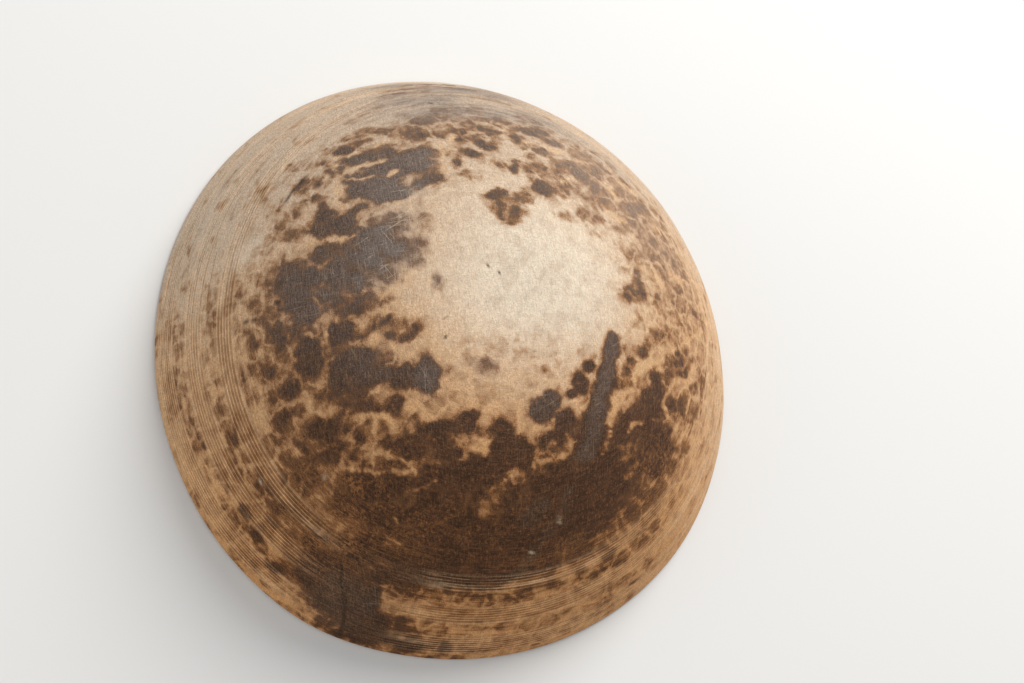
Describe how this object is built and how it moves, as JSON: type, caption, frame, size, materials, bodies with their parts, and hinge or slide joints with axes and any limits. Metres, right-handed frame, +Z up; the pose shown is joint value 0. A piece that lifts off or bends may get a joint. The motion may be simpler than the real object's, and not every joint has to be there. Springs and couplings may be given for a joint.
{
  "type": "wooden bowl",
  "caption": "Round, shallow wooden bowl carved from one block, with a round-bottomed outside, a narrow flat lip and a small worn flat on its base.",
  "frame": {"origin": "middle of the rim plane, on the bowl's axis; the bowl stands mouth down", "axes": "+Z up along the bowl's axis from the rim plane to the base, +X along the mouth's long axis, +Y along its short axis"},
  "size_m": [0.4556, 0.4442, 0.14],
  "materials": {
    "weathered_wood": "dry, hand-worn wood, mottled dark brown over tan, matt to faint satin"
  },
  "bodies": {
    "root": {"bowl": "weathered_wood"}
  },
  "joints": []
}
